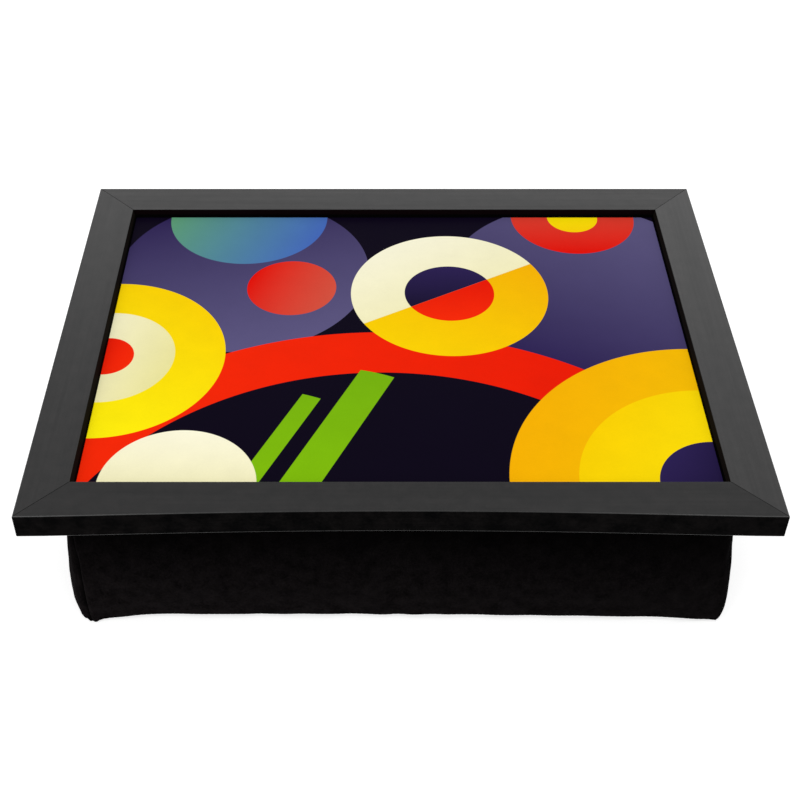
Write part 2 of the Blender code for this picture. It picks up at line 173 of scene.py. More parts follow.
class Wiring:
    """Short calls that add and join the nodes of one node tree."""

    def __init__(self, tree: NodeTree) -> None:
        """Keeps the tree of a material, a world or a group."""
        self.tree = tree

    def add(self, kind: str, inputs: dict | None = None, **settings: object) -> Node:
        """Adds a node.

        Args:
            kind: The node's type name, without its ShaderNode prefix.
            inputs: Values or sockets for its inputs, by name or number.
            **settings: The node's own properties.

        Returns:
            The new node.
        """
        node = self.tree.nodes.new(f"ShaderNode{kind}")
        for name, value in settings.items():
            setattr(node, name, value)
        for name, value in (inputs or {}).items():
            self.feed(node.inputs[name], value)
        return node

    def feed(self, socket: Socket, value: object) -> None:
        """Links a socket into another, or sets its value.

        Args:
            socket: The input.
            value: A socket to link from, or a plain value.
        """
        if isinstance(value, Socket):
            self.tree.links.new(value, socket)
        else:
            socket.default_value = value

    def math(self, operation: str, *values: object) -> Socket:
        """A Math node's result."""
        return self.add("Math", dict(enumerate(values)), operation=operation).outputs[0]

    def times(self, *values: object) -> Socket:
        """The product of values, from left to right."""
        return reduce(lambda done, value: self.math("MULTIPLY", done, value), values)

    def plus(self, *values: object) -> Socket:
        """The sum of values, from left to right."""
        return reduce(lambda done, value: self.math("ADD", done, value), values)

    def minus(self, first: object, second: object) -> Socket:
        """The first value less the second."""
        return self.math("SUBTRACT", first, second)

    def weigh(self, first: object, second: object, share: float) -> Socket:
        """The weighted mean of two values, by the second one's share."""
        return self.plus(self.times(first, 1.0 - share), self.times(second, share))

    def vector(self, operation: str, *values: object, out: str = "Vector") -> Socket:
        """A Vector Math node's result."""
        return self.add("VectorMath", dict(enumerate(values)), operation=operation).outputs[out]

    def axes(self, point: Socket) -> Outputs:
        """The three parts of a vector, by their letters."""
        return self.add("SeparateXYZ", {"Vector": point}).outputs

    def span(self, value: object, way: Span) -> Socket:
        """Maps a value from one range to another, and holds it at the ends.

        Args:
            value: What to map.
            way: The two ranges.

        Returns:
            The output socket.
        """
        ease = "SMOOTHSTEP" if way.smooth else "LINEAR"
        ends = {"From Min": way.low, "From Max": way.high, "To Min": way.start, "To Max": way.end}
        return self.add("MapRange", {"Value": value, **ends}, interpolation_type=ease).outputs["Result"]

    def mix(self, share: object, first: object, second: object) -> Socket:
        """Mixes two colours, by how much of the second one shows."""
        sources = {MIX_SHARE: share, MIX_FIRST: first, MIX_SECOND: second}
        return self.add("Mix", sources, data_type="RGBA").outputs[MIX_RESULT]

    def noise(self, point: object, scale: float, detail: float = 2.0, rough: float = 0.5) -> Socket:
        """A soft random value, by its waves for each metre, octaves and weight of the finer ones."""
        sources = {"Vector": point, "Scale": scale, "Detail": detail, "Roughness": rough}
        return self.add("TexNoise", sources).outputs["Fac"]

    def place(self, where: str = "Object") -> Socket:
        """The piece's own coordinates, or the way its surface faces."""
        return self.add("TexCoord").outputs[where]

    def effect(self, which: Effect, inputs: dict) -> Outputs:
        """Places one of the shared groups, with values or sockets for its inputs."""
        return self.add("Group", inputs, node_tree=bpy.data.node_groups[which.value]).outputs

    def streaks(self, stretch: Point) -> Outputs:
        """Streaks and flecks on the piece, by their waves for each metre along each axis."""
        return self.effect(Effect.STREAKS, {"Point": self.place(), "Stretch": stretch})

    def mottle(self, coarse: float, fine: float) -> Socket:
        """Clouds of tone on the piece, by their waves for each metre."""
        return self.effect(Effect.MOTTLE, {"Point": self.place(), "Coarse": coarse, "Fine": fine})["Tone"]


class Surface(Wiring):
    """A new material with a Principled shader, and the wiring of its nodes."""

    def __init__(self, name: str, **settings: object) -> None:
        """Starts the material.

        Args:
            name: The material's name.
            **settings: The shader's own values, by input name with underscores for spaces.
        """
        self.made = bpy.data.materials.new(name)
        self.made.use_nodes = True
        super().__init__(self.made.node_tree)
        self.set(**settings)

    def set(self, **values: object) -> None:
        """Feeds the shader's inputs, by name with underscores for spaces."""
        for name, value in values.items():
            self.feed(self.tree.nodes["Principled BSDF"].inputs[name.replace("_", " ")], value)

    def raised(self, height: Socket, strength: float, distance: float) -> Material:
        """Gives the surface its bumps, which ends a finish.

        Args:
            height: The bumps' height, 0 to 1.
            strength: How strongly they show.
            distance: How high they are.

        Returns:
            The finished material.
        """
        bump = self.add("Bump", {"Strength": strength, "Distance": distance, "Height": height})
        self.set(Normal=bump.outputs["Normal"])
        return self.made


@dataclass(frozen=True)
class Effects:
    """Builds the shader node groups that more than one finish uses."""

    streak_tone: Span = Span(0.32, 0.68)
    pore_size: Point = (2.4, 2.4, 2.4)
    pore_tone: Span = Span(0.62, 0.74, smooth=True)
    fine_cloud: float = 0.5
    cloud_tone: Span = Span(0.45, 1.05)
    print_edge: Span = Span(-0.00012, 0.00012)

    def build(self) -> None:
        """Builds every group."""
        for make in (self.streaks, self.mottle, self.motif):
            make()

    @staticmethod
    def start(
        which: Effect, inputs: dict[str, str], outputs: dict[str, str]
    ) -> tuple[Wiring, dict[str, Socket], dict[str, Socket]]:
        """Starts a group with its sockets.

        Args:
            which: The group.
            inputs: Input names with their socket types.
            outputs: Output names with their socket types.

        Returns:
            The group's wiring, its inputs' sockets by name, and its outputs' sockets by name.
        """
        tree = bpy.data.node_groups.new(which.value, "ShaderNodeTree")
        for names, way in ((inputs, "INPUT"), (outputs, "OUTPUT")):
            for name, kind in names.items():
                tree.interface.new_socket(name=name, in_out=way, socket_type=f"NodeSocket{kind}")
        given = tree.nodes.new("NodeGroupInput").outputs
        result = tree.nodes.new("NodeGroupOutput").inputs
        return Wiring(tree), {name: given[name] for name in inputs}, {name: result[name] for name in outputs}

    def streaks(self) -> None:
        """Long thin streaks: grain under lacquer, pressed fibres or brush marks."""
        wires, given, result = self.start(
            Effect.STREAKS,
            {"Point": "Vector", "Stretch": "Vector"},
            {"Streak": "Float", "Fleck": "Float"},
        )
        drawn = wires.vector("MULTIPLY", given["Point"], given["Stretch"])
        moved = wires.vector("ADD", drawn, wires.noise(drawn, scale=0.35, detail=1.0))
        fine = wires.noise(moved, scale=1.0, detail=4.0, rough=0.62)
        both = wires.weigh(fine, wires.noise(drawn, scale=0.14), share=0.35)
        wires.feed(result["Streak"], wires.span(both, self.streak_tone))
        pores = wires.noise(wires.vector("MULTIPLY", drawn, self.pore_size), scale=1.0, rough=0.7)
        wires.feed(result["Fleck"], wires.span(pores, self.pore_tone))

    def mottle(self) -> None:
        """Uneven tone in two sizes of cloud."""
        wires, given, result = self.start(
            Effect.MOTTLE,
            {"Point": "Vector", "Coarse": "Float", "Fine": "Float"},
            {"Tone": "Float"},
        )
        coarse = wires.noise(given["Point"], given["Coarse"], detail=3.0)
        fine = wires.noise(given["Point"], given["Fine"])
        both = wires.plus(coarse, wires.times(fine, self.fine_cloud))
        wires.feed(result["Tone"], wires.span(both, self.cloud_tone))

    def motif(self) -> None:
        """Mask and fade of a disc or ring that two straight lines may cut."""
        wires, given, result = self.start(
            Effect.MOTIF,
            {"Point": "Vector", "Centre": "Vector", "Radius": "Float", "Hole": "Float", "First": "Vector",
             "First Room": "Float", "Second": "Vector", "Second Room": "Float", "Fade": "Vector"},
            {"Mask": "Float", "Tint": "Float"},
        )
        arm = wires.vector("SUBTRACT", given["Point"], given["Centre"])
        reach = wires.vector("LENGTH", arm, out="Value")
        inside = [wires.minus(given["Radius"], reach), wires.minus(reach, given["Hole"])]
        for name in ("First", "Second"):
            across = wires.vector("DOT_PRODUCT", arm, given[name], out="Value")
            inside.append(wires.plus(across, given[f"{name} Room"]))
        masks = [wires.span(distance, self.print_edge) for distance in inside]
        wires.feed(result["Mask"], wires.times(*masks))
        run = wires.vector("DOT_PRODUCT", arm, given["Fade"], out="Value")
        wires.feed(result["Tint"], wires.span(wires.math("DIVIDE", run, given["Radius"]), Span(-1.0, 1.0)))


@dataclass(frozen=True)
class SatinMoulding:
    """Black satin lacquer on a wooden moulding: its flat face shines softly, its sides stay dull.

    A lean is the upward part of the way a face looks: 1 on the flat top and 0 on a side. The
    rounded edges carry a painted highlight, paler towards the rail's ends and palest in a thin
    band at the bottom edge. The foot of the sight wall carries a painted shadow.
    """

    name: str
    run: Run
    gloss: float
    coat_index: float
    black: Colour = (0.0009, 0.0009, 0.0010, 1.0)
    streak: Colour = (0.0057, 0.0049, 0.0049, 1.0)
    sight_brown: Colour = (0.0058, 0.0045, 0.0037, 1.0)
    # Painted shadow: the black band at the foot of the sight wall, below its brownish upper part
    foot_shadow_black: Colour = (0.0006, 0.0006, 0.0006, 1.0)
    sight_gloss: float = 0.04
    sight_blur: float = 0.0002
    foot_shadow: Span = Span(0.60, 0.66, 1.0, 0.0)
    grain_along: float = 9.0
    grain_across: float = 620.0
    grain_share: float = 0.07
    grain_dark: Span = ranged(0.5, 1.0)
    grain_tone: Span = Span(0.12, 0.72)
    grain_rough: Span = ranged(0.46, 0.58)
    fleck_share: float = 0.35
    fleck_height: float = -0.8
    grit_height: float = 0.25
    flat_lean: Span = Span(0.974, 0.990, smooth=True)
    edge_lean: Span = Span(0.48, 0.62, smooth=True)
    under_lean: Span = Span(-0.10, -0.20)
    bottom_lean: Span = Span(-0.99, -0.90)
    # Painted highlight on the rounded top edges: paler towards the rail's ends, fading towards its middle
    highlight_to_ends: Span = Span(0.35, 0.97, 0.50, 1.10)
    highlight_tone: Span = ranged(0.45, 0.90)
    edge_gloss: float = 0.92
    edge_light: float = 0.030
    under_light: float = 3.1
    under_band: float = 0.0008
    cloud_gloss: Span = ranged(0.98, 1.02)

    def zones(self, wires: Wiring) -> tuple[Socket, Socket, Socket]:
        """Masks of the moulding's faces.

        Args:
            wires: The finish's wiring.

        Returns:
            The masks of the flat top, the rounded edges, weighted towards the rail's ends for the painted
            highlight, and the sight wall inside.
        """
        axes, lean = wires.axes(wires.place()), wires.axes(wires.place("Normal"))["Z"]
        sides = (("X", FRAME_HALF_X), ("Y", FRAME_HALF_Y))
        (run_axis, half_run), (out_axis, half) = sides if self.run is Run.ALONG_X else reversed(sides)
        highlight_to_ends = wires.span(wires.math("ABSOLUTE", axes[run_axis]), self.highlight_to_ends.over(half_run))
        inner = half - RAIL_WIDTH
        sight_edge = Span(inner - self.sight_blur, inner + self.sight_blur, 1.0, 0.0)
        sight = wires.span(wires.math("ABSOLUTE", axes[out_axis]), sight_edge)
        flat = wires.span(lean, self.flat_lean)
        above = wires.minus(wires.span(lean, self.edge_lean), flat)
        under = wires.times(wires.span(lean, self.under_lean), wires.span(lean, self.bottom_lean))
        turned = wires.plus(wires.times(above, highlight_to_ends), under)
        return flat, wires.times(turned, wires.minus(1.0, sight)), sight

    def build(self) -> Material:
        """Builds the finish.

        Returns:
            The material.
        """
        wires = Surface(self.name, Specular_IOR_Level=0.006, Coat_Roughness=0.22, Coat_IOR=self.coat_index)
        flat, rounded, sight = self.zones(wires)
        stretch = {
            Run.ALONG_X: (self.grain_along, self.grain_across, self.grain_across),
            Run.ALONG_Y: (self.grain_across, self.grain_along, self.grain_across),
        }[self.run]
        streak, fleck = wires.streaks(stretch).values()
        tone = wires.mottle(coarse=115.0, fine=520.0)
        high = wires.axes(wires.place())["Z"]
        worn = wires.times(wires.span(streak, self.grain_dark), tone)
        body = wires.mix(wires.span(worn, self.grain_tone), self.black, self.streak)
        body = wires.mix(wires.times(fleck, self.fleck_share), body, self.black)
        # Painted highlight: the rounded edges are lightened to grey, most in a thin band at the bottom edge
        below = Span(RAIL_BOTTOM + self.under_band, RAIL_BOTTOM, 1.0, self.under_light)
        light = wires.times(wires.span(high, below), self.edge_light)
        grey = wires.add("CombineColor", dict.fromkeys(range(3), light)).outputs["Color"]
        body = wires.mix(wires.times(rounded, wires.span(tone, self.highlight_tone)), body, grey)
        # Painted shadow: the sight wall turns black towards its foot, as a shadow gap above the print
        above_foot_shadow = wires.span(wires.minus(RAIL_TOP, high), self.foot_shadow.over(LIP_DEPTH))
        lip = wires.mix(above_foot_shadow, self.foot_shadow_black, self.sight_brown)
        satin = wires.plus(wires.times(flat, self.gloss), wires.times(rounded, self.edge_gloss))
        satin = wires.times(satin, wires.span(sight, ranged(1.0, self.sight_gloss)))
        grain_gloss = ranged(1.0 - self.grain_share, 1.0 + self.grain_share)
        satin = wires.times(satin, wires.span(streak, grain_gloss), wires.span(tone, self.cloud_gloss))
        rough = wires.span(streak, self.grain_rough)
        wires.set(Base_Color=wires.mix(sight, body, lip), Coat_Weight=satin, Roughness=rough)
        grit = wires.noise(wires.place(), scale=700.0, detail=1.0)
        height = wires.plus(
            streak, wires.times(fleck, self.fleck_height), wires.times(grit, self.grit_height))
        return wires.raised(height, strength=0.30, distance=0.00006)


class Inks:
    """Inks of the print."""

    NAVY = ink(11, 6, 22)
    INDIGO = ink(42, 31, 78)
    VIOLET = ink(90, 84, 124)
    YELLOW = ink(247, 233, 11)
    AMBER = ink(244, 203, 2)
    ORANGE = ink(240, 172, 2)
    CREAM = ink(245, 241, 214)
    STRAW = ink(229, 222, 152)
    RED = ink(220, 12, 2)
    SCARLET = ink(240, 40, 6)
    CORAL = ink(206, 80, 62)
    LIME = ink(134, 192, 6)
    MOSS = ink(112, 170, 14)
    SEA = ink(90, 152, 108)
    BLUE = ink(66, 101, 180)


@dataclass(frozen=True)
class Motif:
    """One shape of the print: a disc or ring, whole or cut by up to two straight lines.

    Angles are in degrees from +X. A cut keeps the side that its angle points to, and its room
    moves the line back from the centre. Fade is the way in which the ink turns into its tint.
    """

    centre: tuple[float, float]
    radius: float
    ink: Colour
    tint: Colour
    fade: float = 90.0
    hole: float = -1.0
    cuts: tuple[tuple[float, float], ...] = ()

    def printed(self, wires: Wiring, point: Socket, ground: object) -> Socket:
        """Prints the shape over what is there.

        Args:
            wires: The finish's wiring.
            point: The coordinates in the plane of the print.
            ground: The colour so far.

        Returns:
            The new colour.
        """
        shape = {"Point": point, "Centre": (*self.centre, 0.0), "Radius": self.radius, "Hole": self.hole,
                 "Fade": towards(self.fade), "First Room": NO_CUT, "Second Room": NO_CUT}
        for name, (angle, room) in zip(("First", "Second"), self.cuts):
            shape.update({name: towards(angle), f"{name} Room": room})
        mask, tint = wires.effect(Effect.MOTIF, shape).values()
        return wires.mix(mask, ground, wires.mix(tint, self.ink, self.tint))


@dataclass(frozen=True)
class PrintLaminate:
    """A print of plain round shapes under a matt laminate, with bare paper at its edges."""

    name: str = "print_laminate_matt"
    paper: Colour = (0.62, 0.60, 0.55, 1.0)
    top_lean: Span = Span(0.4, 0.6)
    ink_value: Span = ranged(0.965, 1.03)
    rough: Span = ranged(0.40, 0.50)
    cloud_height: float = 0.4
    motifs: tuple[Motif, ...] = (
        Motif((0.128, 0.058), 0.092, Inks.VIOLET, Inks.INDIGO, fade=240),
        Motif((-0.104, 0.070), 0.086, Inks.INDIGO, Inks.VIOLET, fade=290),
        Motif((-0.104, 0.135), 0.056, Inks.SEA, Inks.BLUE, fade=340),
        Motif((-0.010, -0.232), 0.236, Inks.RED, Inks.SCARLET, fade=160, hole=0.196),
        Motif((0.185, -0.135), 0.122, Inks.ORANGE, Inks.AMBER, fade=340),
        Motif((0.185, -0.135), 0.082, Inks.YELLOW, Inks.AMBER, fade=150),
        Motif((0.185, -0.135), 0.036, Inks.NAVY, Inks.INDIGO, fade=150),
        Motif((0.036, 0.046), 0.066, Inks.CREAM, Inks.STRAW, fade=300, cuts=((120, 0.0),)),
        Motif((0.036, 0.046), 0.066, Inks.ORANGE, Inks.AMBER, fade=240, cuts=((300, 0.0),)),
        Motif((0.036, 0.046), 0.030, Inks.NAVY, Inks.INDIGO, fade=90, cuts=((120, 0.0),)),
        Motif((0.036, 0.046), 0.030, Inks.SCARLET, Inks.RED, fade=90, cuts=((300, 0.0),)),
        Motif((-0.070, 0.052), 0.030, Inks.CORAL, Inks.RED, fade=160),
        Motif((-0.185, -0.020), 0.076, Inks.YELLOW, Inks.AMBER, fade=60),
        Motif((-0.185, -0.020), 0.044, Inks.CREAM, Inks.STRAW, fade=340),
        Motif((-0.185, -0.020), 0.018, Inks.RED, Inks.SCARLET, fade=340),
        Motif((-0.046, -0.135), 0.104, Inks.LIME, Inks.MOSS, fade=100, cuts=((155, 0.0), (335, 0.022))),
        Motif((-0.082, -0.135), 0.082, Inks.LIME, Inks.MOSS, fade=120, cuts=((155, 0.0), (335, 0.012))),
        Motif((-0.128, -0.135), 0.046, Inks.STRAW, Inks.CREAM, fade=90),
        Motif((0.128, 0.135), 0.044, Inks.CORAL, Inks.RED, fade=270),
        Motif((0.128, 0.135), 0.018, Inks.YELLOW, Inks.AMBER, fade=270),
    )

    def build(self) -> Material:
        """Builds the finish.

        Returns:
            The material.
        """
        wires = Surface(self.name, Specular_IOR_Level=0.010)
        flat = wires.vector("MULTIPLY", wires.place(), (1.0, 1.0, 0.0))
        tone = wires.mottle(coarse=55.0, fine=900.0)
        colour: object = Inks.NAVY
        for motif in self.motifs:
            colour = motif.printed(wires, flat, colour)
        value = wires.span(tone, self.ink_value)
        shaded = wires.add("HueSaturation", {"Color": colour, "Value": value}).outputs["Color"]
        top = wires.span(wires.axes(wires.place("Normal"))["Z"], self.top_lean)
        wires.set(Base_Color=wires.mix(top, self.paper, shaded), Roughness=wires.span(tone, self.rough))
        grain = wires.noise(wires.place(), scale=1900.0)
        return wires.raised(
            wires.plus(grain, wires.times(tone, self.cloud_height)), strength=0.16, distance=0.00004)


@dataclass(frozen=True)
class Hardboard:
    """Bare pressed fibre board, whose fibres lie both ways."""

    name: str = "hardboard_bare"
    dark: Colour = (0.150, 0.078, 0.036, 1.0)
    pale: Colour = (0.330, 0.200, 0.105, 1.0)
    fibre_along: float = 160.0
    fibre_across: float = 900.0
    cloud_share: float = 0.4
    fleck_share: float = 0.5
    rough: Span = ranged(0.66, 0.86)

    def build(self) -> Material:
        """Builds the finish.

        Returns:
            The material.
        """
        wires = Surface(self.name, Specular_IOR_Level=0.25)
        fibres = wires.streaks((self.fibre_along, self.fibre_across, self.fibre_across))
        crossed = wires.streaks((self.fibre_across, self.fibre_along, self.fibre_across))
        both = wires.weigh(fibres["Streak"], crossed["Streak"], share=0.5)
        cloud = wires.weigh(both, wires.mottle(coarse=45.0, fine=420.0), self.cloud_share)
        body = wires.mix(cloud, self.dark, self.pale)
        body = wires.mix(wires.times(fibres["Fleck"], self.fleck_share), body, self.dark)
        wires.set(Base_Color=body, Roughness=wires.span(both, self.rough))
        return wires.raised(both, strength=0.5, distance=0.0002)


@dataclass(frozen=True)
class ZincSteel:
    """Zinc-plated steel strip and wire, with the cloudy crystals of its plating."""

    name: str = "zinc_plated_steel"
    bright: Colour = (0.66, 0.67, 0.68, 1.0)
    dull: Colour = (0.42, 0.43, 0.45, 1.0)
    crystals: float = 900.0
    drawn: Point = (400.0, 4000.0, 400.0)
    rough: Span = ranged(0.44, 0.26)

    def build(self) -> Material:
        """Builds the finish.

        Returns:
            The material.
        """
        wires = Surface(self.name, Metallic=1.0)
        crystals = wires.add("TexVoronoi", {"Vector": wires.place(), "Scale": self.crystals})
        crystal = wires.add("SeparateColor", {"Color": crystals.outputs["Color"]}).outputs["Red"]
        cloud = wires.weigh(crystal, wires.mottle(coarse=120.0, fine=1600.0), share=0.5)
        body = wires.mix(cloud, self.dull, self.bright)
        wires.set(Base_Color=body, Roughness=wires.span(cloud, self.rough))
        return wires.raised(wires.streaks(self.drawn)["Streak"], strength=0.25, distance=0.00003)


@dataclass(frozen=True)
class BlackSuede:
    """Black suede-like cloth: a short nap over a fine weave, brushed this way and that.

    Painted light and shade: the nap is paler towards the bottom and the left, darker under the rail and
    along the seams.
    """

    name: str = "black_suede_nap"
    shade: Colour = (0.0006, 0.0005, 0.0005, 1.0)
    brushed: Colour = (0.0094, 0.0077, 0.0082, 1.0)
    sheen: Colour = (0.62, 0.58, 0.60, 1.0)
    # Painted light and shade: darker towards the top under the rail's overhang, paler towards the left,
    # darker in the seams' grooves
    shade_under_rail: Span = Span(RAIL_BOTTOM, 0.0, 0.02, 1.52)
    light_from_left: Span = Span(-FRAME_HALF_X, FRAME_HALF_X, 1.26, 0.72)
    seam_press: Span = Span(0.0006, 0.0020, 0.15, 1.0)
    tuft_share: float = 0.54
    fibre_tone: Span = Span(0.30, 0.70, 0.70, 1.20)
    nap_tone: Span = Span(0.15, 0.85)
    rough: Span = ranged(0.86, 1.0)
    tuft_height: float = 0.7

    def build(self) -> Material:
        """Builds the finish.

        Returns:
            The material.
        """
        wires = Surface(self.name, Specular_IOR_Level=0.0, Sheen_Weight=0.03, Sheen_Roughness=0.42,
                        Sheen_Tint=self.sheen)
        place = wires.place()
        axes = wires.axes(place)
        patches = wires.mottle(coarse=130.0, fine=620.0)
        fibres = wires.noise(place, scale=2600.0, detail=3.0, rough=0.7)
        tufts = wires.noise(place, scale=700.0, rough=0.6)
        runs = [wires.add("Attribute", attribute_name=mark.value) for mark in (Mark.CORNER, Mark.HEM)]
        seam_run = wires.math("MINIMUM", *(run.outputs["Fac"] for run in runs))
        # Painted light and shade, multiplied into the nap: shade under the rail, light from the left, shadow
        # along the seams
        painted_light = wires.times(
            wires.span(axes["Z"], self.shade_under_rail), wires.span(axes["X"], self.light_from_left),
            wires.span(seam_run, self.seam_press))
        nap = wires.weigh(patches, tufts, self.tuft_share)
        nap = wires.times(nap, wires.span(fibres, self.fibre_tone))
        nap = wires.times(wires.span(nap, self.nap_tone), painted_light)
        body = wires.mix(nap, self.shade, self.brushed)
        wires.set(Base_Color=body, Roughness=wires.span(patches, self.rough))
        pile = wires.plus(fibres, wires.times(tufts, self.tuft_height))
        return wires.raised(pile, strength=0.55, distance=0.00025)


@dataclass(frozen=True)
class SeamThread:
    """Black twisted sewing thread."""

    name: str = "black_seam_thread"
    black: Colour = (0.0018, 0.0018, 0.0020, 1.0)
    worn: Colour = (0.0070, 0.0066, 0.0068, 1.0)
    twist: Point = (5200.0, 5200.0, 3800.0)

    def build(self) -> Material:
        """Builds the finish.

        Returns:
            The material.
        """
        wires = Surface(self.name, Roughness=0.75, Specular_IOR_Level=0.03)
        plies = wires.streaks(self.twist)["Streak"]
        wires.set(Base_Color=wires.mix(plies, self.black, self.worn))
        return wires.raised(plies, strength=0.5, distance=0.00008)


def linked(name: str, data: ID) -> Object:
    """Puts an object into the scene.

    Args:
        name: Its name.
        data: Its mesh, curve, camera or lamp.

    Returns:
        The object.
    """
    made = bpy.data.objects.new(name, data)
    bpy.context.scene.collection.objects.link(made)
    return made


def dress(piece: Object, surface: Material) -> None:
    """Gives a piece its one material.

    Args:
        piece: The piece.
        surface: The material.
    """
    piece.data.materials.clear()
    piece.data.materials.append(surface)
    for face in piece.data.polygons:
        face.material_index = 0
    LOG.info("dressed %s in %s", piece.name, surface.name)


def blend(first: float, second: float, share: float) -> float:
    """Moves from one value to another by a share, 0 to 1."""
    return first + (second - first) * share


def take_up(*pieces: Object) -> None:
    """Selects these pieces alone, and makes the first one active.

    Args:
        *pieces: The pieces, or none to leave nothing selected.
    """
    for other in bpy.context.selected_objects:
        other.select_set(False)
    for piece in pieces:
        piece.select_set(True)
    if pieces:
        bpy.context.view_layer.objects.active = pieces[0]


def apply_modifiers(piece: Object) -> None:
    """Applies every modifier of a piece in turn.

    Args:
        piece: The piece.
    """
    take_up(piece)
    for name in [modifier.name for modifier in piece.modifiers]:
        bpy.ops.object.modifier_apply(modifier=name)


def rows_of(rows: Outputs, name: str, width: int = 1) -> np.ndarray:
    """Reads one property of every row of a mesh's data.

    Args:
        rows: The mesh's vertices, normals or an attribute's values.
        name: The property.
        width: How many numbers it has.

    Returns:
        The numbers, a row for each.
    """
    flat = np.zeros(len(rows) * width, np.float32)
    rows.foreach_get(name, flat)
    return flat.reshape(-1, width).astype(float)


def points_of(mesh: Mesh) -> np.ndarray:
    """The mesh's points, a row for each."""
    return rows_of(mesh.vertices, "co", 3)


def place_points(mesh: Mesh, points: np.ndarray) -> None:
    """Moves the mesh's points, from a row for each."""
    mesh.vertices.foreach_set("co", points.ravel())
    mesh.update()


def marks_of(mesh: Mesh) -> list[np.ndarray]:
    """The cover's marks in the order of Mark, each with a value for every point."""
    return [rows_of(mesh.attributes[mark.value].data, "value")[:, 0] for mark in Mark]


@dataclass(frozen=True)
class PhotoCamera:
    """The camera, at the photograph's viewing angle."""

    lens: float = 60.98
    sensor: float = 36.0
    shift: float = 0.035
    near_limit: float = 0.01
    place: Point = (-0.0159, -0.6801, 0.6511)
    down: float = 41.74

    def build(self) -> None:
        """Sets the camera up and makes it the scene's own."""
        data = bpy.data.cameras.new("photo_camera")
        data.lens = self.lens
        data.sensor_width = self.sensor
        data.shift_x = self.shift
        data.clip_start = self.near_limit
        camera = linked("photo_camera", data)
        camera.location = self.place
        camera.rotation_euler = (math.radians(90.0 - self.down), 0.0, 0.0)
        bpy.context.scene.camera = camera


@dataclass(frozen=True)
class Lamp:
    """A softbox that points at the tray."""

    name: str
    place: Point
    width: float
    height: float
    power: float
    aim: Point = (0.0, 0.0, 0.09)

    def hang(self) -> None:
        """Hangs the softbox and turns it to the tray."""
        data = bpy.data.lights.new(self.name, "AREA")
        data.shape = "RECTANGLE"
        data.size, data.size_y = self.width, self.height
        data.energy = self.power
        made = linked(self.name, data)
        made.location = self.place
        aim = Vector(self.aim) - Vector(self.place)
        made.rotation_euler = aim.to_track_quat("-Z", "Y").to_euler()


@dataclass(frozen=True)
class Studio:
    """A plain pale floor under white light."""

    floor_half: float = 5.0
    floor_drop: float = 0.0002
    floor_pale: Colour = (0.80, 0.80, 0.80, 1.0)
    floor_glow: float = 0.72
    floor_shade: Colour = (0.52, 0.52, 0.52, 1.0)
    world_glow: float = 0.58
    lamps: tuple[Lamp, ...] = (
        Lamp("softbox_above", (0.0, -0.35, 1.55), 1.3, 1.3, 11.6),
        Lamp("window_behind", (0.0, 2.54, 1.62), 2.9, 0.74, 2.6),
        Lamp("window_behind_right", (1.0, 2.05, 2.02), 1.2, 0.55, 0.4),
        Lamp("softbox_left_front", (-1.0, -1.1, 0.9), 0.9, 0.9, 3.0),
    )

    def build(self) -> None:
        """Builds the view settings, world, floor and lamps."""
        bpy.context.scene.view_settings.view_transform = "Standard"
        self.light_world()
        self.lay_floor()
        for lamp in self.lamps:
            lamp.hang()

    @staticmethod
    def seen(wires: Wiring) -> Socket:
        """1 for rays that show the backdrop itself: to the camera, in gloss and through glass.

        Args:
            wires: The tree to add the nodes to.

        Returns:
            The value's socket.
        """
        path = wires.add("LightPath").outputs
        either = wires.math("MAXIMUM", path["Is Camera Ray"], path["Is Glossy Ray"])
        return wires.math("MAXIMUM", either, path["Is Transmission Ray"])

    def light_world(self) -> None:
        """White all round, and dimmer as a light than as a backdrop."""
        world = bpy.data.worlds.new("white_room")
        bpy.context.scene.world = world
        world.use_nodes = True
        wires = Wiring(world.node_tree)
        background = world.node_tree.nodes["Background"]
        wires.feed(background.inputs["Color"], WHITE)
        glow = wires.span(self.seen(wires), ranged(self.world_glow, 1.0))
        wires.feed(background.inputs["Strength"], glow)

    def lay_floor(self) -> None:
        """The floor: pale paper that shows white, and keeps the tray's soft shadow."""
        bpy.ops.mesh.primitive_plane_add(size=2 * self.floor_half, location=(0.0, 0.0, -self.floor_drop))
        floor = bpy.context.object
        floor.name = "floor"
        made = bpy.data.materials.new("pale_paper")
        made.use_nodes = True
        made.node_tree.nodes.clear()
        wires = Wiring(made.node_tree)
        plain = wires.add("BsdfDiffuse", {"Color": self.floor_pale}).outputs[0]
        shaded = wires.add("BsdfDiffuse", {"Color": self.floor_shade}).outputs[0]
        glow = wires.add("Emission", {"Color": WHITE, "Strength": self.floor_glow}).outputs[0]
        shown = wires.add("AddShader", {0: shaded, 1: glow}).outputs[0]
        both = wires.add("MixShader", {0: self.seen(wires), 1: plain, 2: shown}).outputs[0]
        wires.add("OutputMaterial", {"Surface": both})
        floor.data.materials.append(made)


